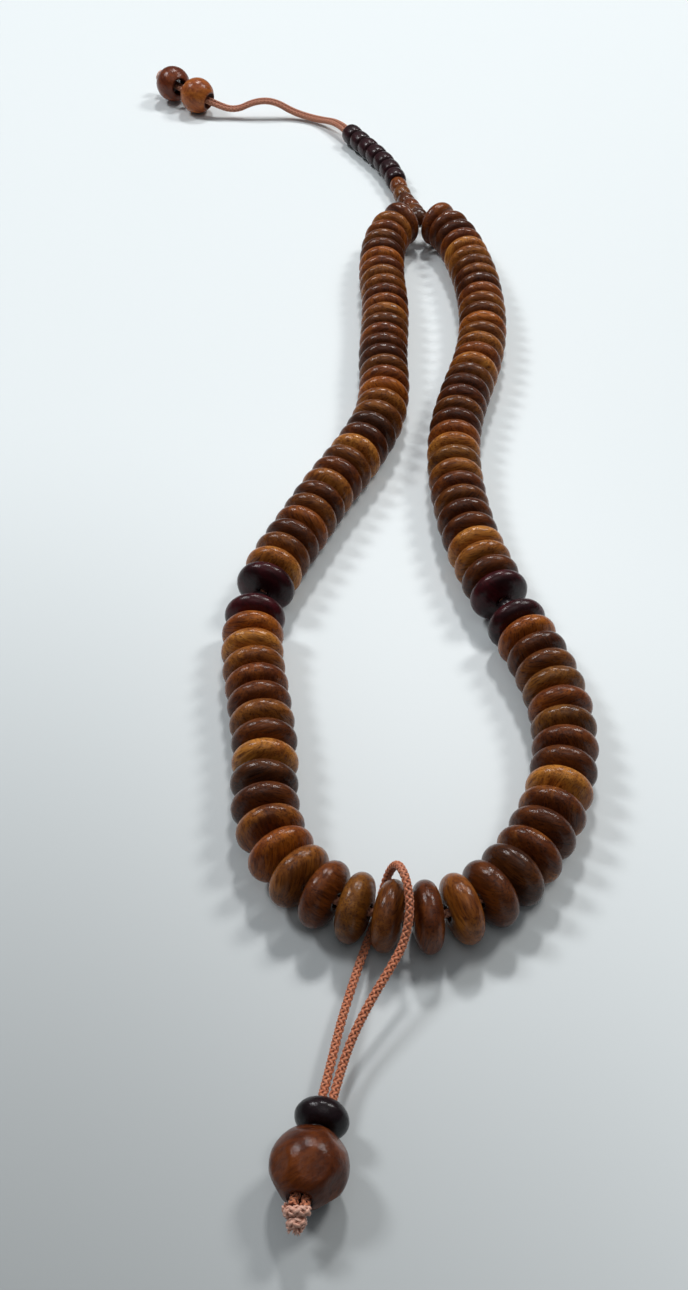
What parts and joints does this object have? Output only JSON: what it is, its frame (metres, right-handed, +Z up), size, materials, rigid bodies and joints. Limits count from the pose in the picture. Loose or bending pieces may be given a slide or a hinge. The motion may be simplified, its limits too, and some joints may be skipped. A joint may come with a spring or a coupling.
{
  "type": "prayer beads",
  "caption": "Closed string of wooden rondelle prayer beads on a braided cord, with two dark dividers, a tail with a dark stack, and a hanging marker.",
  "frame": {"origin": "on the table, under the middle of the strung beads without their free cords", "axes": "+Z up from the table, +Y from the bottom bend of the loop towards the tail, +X to the right"},
  "size_m": [0.089, 0.318, 0.0119],
  "materials": {
    "wood_warm": "lacquered",
    "wood_brown": "lacquered",
    "wood_dark": "lacquered",
    "wood_gold": "lacquered",
    "wood_red": "lacquered",
    "divider_wood": "dark lacquer",
    "stack_wood": "dark lacquer",
    "cord": "braided"
  },
  "bodies": {
    "loop": {"main_cord": "cord", "junction_bead": "stack_wood", "left_arm_beads": "wood_brown", "right_arm_beads": "wood_brown"},
    "tail": {"neck_beads": "wood_brown", "neck_cord": "cord", "tail_cord_left": "cord", "tail_cord_right": "cord", "tail_knot": "cord"},
    "marker": {"marker_cord": "cord", "marker_knot": "cord"},
    "left_front_bead_01": {"left_front_bead_01": "wood_warm"},
    "left_front_bead_02": {"left_front_bead_02": "wood_brown"},
    "left_front_bead_03": {"left_front_bead_03": "wood_dark"},
    "left_front_bead_04": {"left_front_bead_04": "wood_red"},
    "left_front_bead_05": {"left_front_bead_05": "wood_brown"},
    "left_front_bead_06": {"left_front_bead_06": "wood_gold"},
    "left_front_bead_07": {"left_front_bead_07": "wood_warm"},
    "left_front_bead_08": {"left_front_bead_08": "wood_brown"},
    "left_front_bead_09": {"left_front_bead_09": "wood_dark"},
    "left_front_bead_10": {"left_front_bead_10": "wood_red"},
    "left_front_bead_11": {"left_front_bead_11": "wood_brown"},
    "left_front_bead_12": {"left_front_bead_12": "wood_gold"},
    "left_front_bead_13": {"left_front_bead_13": "wood_warm"},
    "left_front_bead_14": {"left_front_bead_14": "wood_brown"},
    "left_front_bead_15": {"left_front_bead_15": "wood_dark"},
    "left_front_bead_16": {"left_front_bead_16": "wood_red"},
    "right_front_bead_01": {"right_front_bead_01": "wood_red"},
    "right_front_bead_02": {"right_front_bead_02": "wood_brown"},
    "right_front_bead_03": {"right_front_bead_03": "wood_gold"},
    "right_front_bead_04": {"right_front_bead_04": "wood_warm"},
    "right_front_bead_05": {"right_front_bead_05": "wood_brown"},
    "right_front_bead_06": {"right_front_bead_06": "wood_dark"},
    "right_front_bead_07": {"right_front_bead_07": "wood_red"},
    "right_front_bead_08": {"right_front_bead_08": "wood_brown"},
    "right_front_bead_09": {"right_front_bead_09": "wood_gold"},
    "right_front_bead_10": {"right_front_bead_10": "wood_warm"},
    "right_front_bead_11": {"right_front_bead_11": "wood_brown"},
    "right_front_bead_12": {"right_front_bead_12": "wood_dark"},
    "right_front_bead_13": {"right_front_bead_13": "wood_red"},
    "right_front_bead_14": {"right_front_bead_14": "wood_brown"},
    "right_front_bead_15": {"right_front_bead_15": "wood_gold"},
    "right_front_bead_16": {"right_front_bead_16": "wood_warm"},
    "left_divider_upper_disc": {"left_divider_upper_disc": "divider_wood"},
    "left_divider_spacer": {"left_divider_spacer": "divider_wood"},
    "left_divider_lower_disc": {"left_divider_lower_disc": "divider_wood"},
    "right_divider_upper_disc": {"right_divider_upper_disc": "divider_wood"},
    "right_divider_spacer": {"right_divider_spacer": "divider_wood"},
    "right_divider_lower_disc": {"right_divider_lower_disc": "divider_wood"},
    "tail_stack_bead_1": {"tail_stack_bead_1": "stack_wood"},
    "tail_stack_bead_2": {"tail_stack_bead_2": "stack_wood"},
    "tail_stack_bead_3": {"tail_stack_bead_3": "stack_wood"},
    "tail_stack_bead_4": {"tail_stack_bead_4": "stack_wood"},
    "tail_stack_bead_5": {"tail_stack_bead_5": "stack_wood"},
    "tail_stack_bead_6": {"tail_stack_bead_6": "stack_wood"},
    "tail_stack_bead_7": {"tail_stack_bead_7": "stack_wood"},
    "tail_ball_1": {"tail_ball_1": "wood_warm"},
    "tail_ball_2": {"tail_ball_2": "wood_red"},
    "marker_disc": {"marker_disc": "divider_wood"},
    "marker_ball": {"marker_ball": "wood_red"}
  },
  "joints": [
    {"name": "tail_swing", "type": "hinge", "parent": "loop", "child": "tail", "pos_m": [0.008, 0.0726, 0.005], "axis": [0, 0, 1], "range_deg": [-20, 20]},
    {"name": "marker_swing", "type": "hinge", "parent": "loop", "child": "marker", "pos_m": [-0.00327, -0.11934, 0.005], "axis": [-0.9662, 0.2579, 0], "range_deg": [0, 35]},
    {"name": "left_front_bead_01_spin", "type": "hinge", "parent": "loop", "child": "left_front_bead_01", "pos_m": [-0.02388, -0.06562, 0.005], "axis": [-0.0117, -0.9999, 0], "continuous": true},
    {"name": "left_front_bead_02_spin", "type": "hinge", "parent": "loop", "child": "left_front_bead_02", "pos_m": [-0.02377, -0.06956, 0.005], "axis": [0.0674, -0.9977, 0], "continuous": true},
    {"name": "left_front_bead_03_spin", "type": "hinge", "parent": "loop", "child": "left_front_bead_03", "pos_m": [-0.02335, -0.07348, 0.005], "axis": [0.1461, -0.9893, 0], "continuous": true},
    {"name": "left_front_bead_04_spin", "type": "hinge", "parent": "loop", "child": "left_front_bead_04", "pos_m": [-0.02275, -0.07724, 0.005], "axis": [0.156, -0.9878, 0], "continuous": true},
    {"name": "left_front_bead_05_spin", "type": "hinge", "parent": "loop", "child": "left_front_bead_05", "pos_m": [-0.02217, -0.081, 0.005], "axis": [0.1487, -0.9889, 0], "continuous": true},
    {"name": "left_front_bead_06_spin", "type": "hinge", "parent": "loop", "child": "left_front_bead_06", "pos_m": [-0.02162, -0.08478, 0.005], "axis": [0.1414, -0.9899, 0], "continuous": true},
    {"name": "left_front_bead_07_spin", "type": "hinge", "parent": "loop", "child": "left_front_bead_07", "pos_m": [-0.02111, -0.08867, 0.005], "axis": [0.1015, -0.9948, 0], "continuous": true},
    {"name": "left_front_bead_08_spin", "type": "hinge", "parent": "loop", "child": "left_front_bead_08", "pos_m": [-0.02084, -0.09266, 0.005], "axis": [0.0351, -0.9994, 0], "continuous": true},
    {"name": "left_front_bead_09_spin", "type": "hinge", "parent": "loop", "child": "left_front_bead_09", "pos_m": [-0.0208, -0.09662, 0.005], "axis": [0.003, -1, 0], "continuous": true},
    {"name": "left_front_bead_10_spin", "type": "hinge", "parent": "loop", "child": "left_front_bead_10", "pos_m": [-0.02048, -0.10084, 0.005], "axis": [0.1471, -0.9891, 0], "continuous": true},
    {"name": "left_front_bead_11_spin", "type": "hinge", "parent": "loop", "child": "left_front_bead_11", "pos_m": [-0.01961, -0.10494, 0.005], "axis": [0.2479, -0.9688, 0], "continuous": true},
    {"name": "left_front_bead_12_spin", "type": "hinge", "parent": "loop", "child": "left_front_bead_12", "pos_m": [-0.01794, -0.10917, 0.005], "axis": [0.4814, -0.8765, 0], "continuous": true},
    {"name": "left_front_bead_13_spin", "type": "hinge", "parent": "loop", "child": "left_front_bead_13", "pos_m": [-0.01535, -0.11291, 0.005], "axis": [0.6672, -0.7449, 0], "continuous": true},
    {"name": "left_front_bead_14_spin", "type": "hinge", "parent": "loop", "child": "left_front_bead_14", "pos_m": [-0.01189, -0.11592, 0.005], "axis": [0.8198, -0.5726, 0], "continuous": true},
    {"name": "left_front_bead_15_spin", "type": "hinge", "parent": "loop", "child": "left_front_bead_15", "pos_m": [-0.00775, -0.11809, 0.005], "axis": [0.9337, -0.3579, 0], "continuous": true},
    {"name": "left_front_bead_16_spin", "type": "hinge", "parent": "loop", "child": "left_front_bead_16", "pos_m": [-0.00327, -0.11934, 0.005], "axis": [0.9662, -0.2579, 0], "continuous": true},
    {"name": "right_front_bead_01_spin", "type": "hinge", "parent": "loop", "child": "right_front_bead_01", "pos_m": [0.02002, -0.0667, 0.005], "axis": [0.347, -0.9379, 0], "continuous": true},
    {"name": "right_front_bead_02_spin", "type": "hinge", "parent": "loop", "child": "right_front_bead_02", "pos_m": [0.02128, -0.07037, 0.005], "axis": [0.2959, -0.9552, 0], "continuous": true},
    {"name": "right_front_bead_03_spin", "type": "hinge", "parent": "loop", "child": "right_front_bead_03", "pos_m": [0.02233, -0.07414, 0.005], "axis": [0.2354, -0.9719, 0], "continuous": true},
    {"name": "right_front_bead_04_spin", "type": "hinge", "parent": "loop", "child": "right_front_bead_04", "pos_m": [0.02314, -0.07795, 0.005], "axis": [0.1828, -0.9831, 0], "continuous": true},
    {"name": "right_front_bead_05_spin", "type": "hinge", "parent": "loop", "child": "right_front_bead_05", "pos_m": [0.02367, -0.08195, 0.005], "axis": [0.0771, -0.997, 0], "continuous": true},
    {"name": "right_front_bead_06_spin", "type": "hinge", "parent": "loop", "child": "right_front_bead_06", "pos_m": [0.02377, -0.086, 0.005], "axis": [-0.03, -0.9996, 0], "continuous": true},
    {"name": "right_front_bead_07_spin", "type": "hinge", "parent": "loop", "child": "right_front_bead_07", "pos_m": [0.02352, -0.09001, 0.005], "axis": [-0.1124, -0.9937, 0], "continuous": true},
    {"name": "right_front_bead_08_spin", "type": "hinge", "parent": "loop", "child": "right_front_bead_08", "pos_m": [0.02283, -0.09406, 0.005], "axis": [-0.2256, -0.9742, 0], "continuous": true},
    {"name": "right_front_bead_09_spin", "type": "hinge", "parent": "loop", "child": "right_front_bead_09", "pos_m": [0.02176, -0.09795, 0.005], "axis": [-0.2879, -0.9577, 0], "continuous": true},
    {"name": "right_front_bead_10_spin", "type": "hinge", "parent": "loop", "child": "right_front_bead_10", "pos_m": [0.02035, -0.10186, 0.005], "axis": [-0.3915, -0.9202, 0], "continuous": true},
    {"name": "right_front_bead_11_spin", "type": "hinge", "parent": "loop", "child": "right_front_bead_11", "pos_m": [0.01856, -0.10556, 0.005], "axis": [-0.4568, -0.8896, 0], "continuous": true},
    {"name": "right_front_bead_12_spin", "type": "hinge", "parent": "loop", "child": "right_front_bead_12", "pos_m": [0.01639, -0.10923, 0.005], "axis": [-0.5599, -0.8286, 0], "continuous": true},
    {"name": "right_front_bead_13_spin", "type": "hinge", "parent": "loop", "child": "right_front_bead_13", "pos_m": [0.01379, -0.11266, 0.005], "axis": [-0.654, -0.7565, 0], "continuous": true},
    {"name": "right_front_bead_14_spin", "type": "hinge", "parent": "loop", "child": "right_front_bead_14", "pos_m": [0.01052, -0.11577, 0.005], "axis": [-0.7869, -0.6171, 0], "continuous": true},
    {"name": "right_front_bead_15_spin", "type": "hinge", "parent": "loop", "child": "right_front_bead_15", "pos_m": [0.00651, -0.11823, 0.005], "axis": [-0.92, -0.392, 0], "continuous": true},
    {"name": "right_front_bead_16_spin", "type": "hinge", "parent": "loop", "child": "right_front_bead_16", "pos_m": [0.00187, -0.11952, 0.005], "axis": [-0.9926, -0.121, 0], "continuous": true},
    {"name": "left_divider_upper_disc_spin", "type": "hinge", "parent": "loop", "child": "left_divider_upper_disc", "pos_m": [-0.02227, -0.0539, 0.005], "axis": [-0.2696, -0.963, 0], "continuous": true},
    {"name": "left_divider_spacer_spin", "type": "hinge", "parent": "loop", "child": "left_divider_spacer", "pos_m": [-0.02318, -0.05765, 0.005], "axis": [-0.187, -0.9824, 0], "continuous": true},
    {"name": "left_divider_lower_disc_spin", "type": "hinge", "parent": "loop", "child": "left_divider_lower_disc", "pos_m": [-0.02371, -0.0615, 0.005], "axis": [-0.0856, -0.9963, 0], "continuous": true},
    {"name": "right_divider_upper_disc_spin", "type": "hinge", "parent": "loop", "child": "right_divider_upper_disc", "pos_m": [0.01637, -0.05591, 0.005], "axis": [0.296, -0.9552, 0], "continuous": true},
    {"name": "right_divider_spacer_spin", "type": "hinge", "parent": "loop", "child": "right_divider_spacer", "pos_m": [0.01748, -0.05943, 0.005], "axis": [0.31, -0.9507, 0], "continuous": true},
    {"name": "right_divider_lower_disc_spin", "type": "hinge", "parent": "loop", "child": "right_divider_lower_disc", "pos_m": [0.01866, -0.06294, 0.005], "axis": [0.33, -0.944, 0], "continuous": true},
    {"name": "tail_stack_bead_1_spin", "type": "hinge", "parent": "tail", "child": "tail_stack_bead_1", "pos_m": [0.00325, 0.09694, 0.0026], "axis": [-0.1988, 0.9799, 0.0182], "continuous": true},
    {"name": "tail_stack_bead_2_spin", "type": "hinge", "parent": "tail", "child": "tail_stack_bead_2", "pos_m": [0.00212, 0.10125, 0.00265], "axis": [-0.3065, 0.9519, 0.0025], "continuous": true},
    {"name": "tail_stack_bead_3_spin", "type": "hinge", "parent": "tail", "child": "tail_stack_bead_3", "pos_m": [0.00067, 0.10535, 0.00265], "axis": [-0.3671, 0.9302, 0], "continuous": true},
    {"name": "tail_stack_bead_4_spin", "type": "hinge", "parent": "tail", "child": "tail_stack_bead_4", "pos_m": [-0.00112, 0.10937, 0.00265], "axis": [-0.4476, 0.8942, 0], "continuous": true},
    {"name": "tail_stack_bead_5_spin", "type": "hinge", "parent": "tail", "child": "tail_stack_bead_5", "pos_m": [-0.00306, 0.11313, 0.00265], "axis": [-0.4597, 0.8881, 0], "continuous": true},
    {"name": "tail_stack_bead_6_spin", "type": "hinge", "parent": "tail", "child": "tail_stack_bead_6", "pos_m": [-0.005, 0.11687, 0.00265], "axis": [-0.4648, 0.8854, 0], "continuous": true},
    {"name": "tail_stack_bead_7_spin", "type": "hinge", "parent": "tail", "child": "tail_stack_bead_7", "pos_m": [-0.00696, 0.12059, 0.00265], "axis": [-0.4657, 0.8849, 0], "continuous": true},
    {"name": "tail_ball_1_spin", "type": "hinge", "parent": "tail", "child": "tail_ball_1", "pos_m": [-0.04815, 0.14057, 0.00451], "axis": [-0.8273, 0.5391, 0.158], "continuous": true},
    {"name": "tail_ball_2_spin", "type": "hinge", "parent": "tail", "child": "tail_ball_2", "pos_m": [-0.05507, 0.14717, 0.00487], "axis": [-0.5351, 0.8356, -0.1241], "continuous": true},
    {"name": "marker_disc_spin", "type": "hinge", "parent": "marker", "child": "marker_disc", "pos_m": [-0.0119, -0.14743, 0.00368], "axis": [0.2247, 0.9701, -0.0919], "continuous": true},
    {"name": "marker_ball_spin", "type": "hinge", "parent": "marker", "child": "marker_ball", "pos_m": [-0.0133, -0.1539, 0.0048], "axis": [0.2008, 0.9588, -0.2008], "continuous": true}
  ]
}
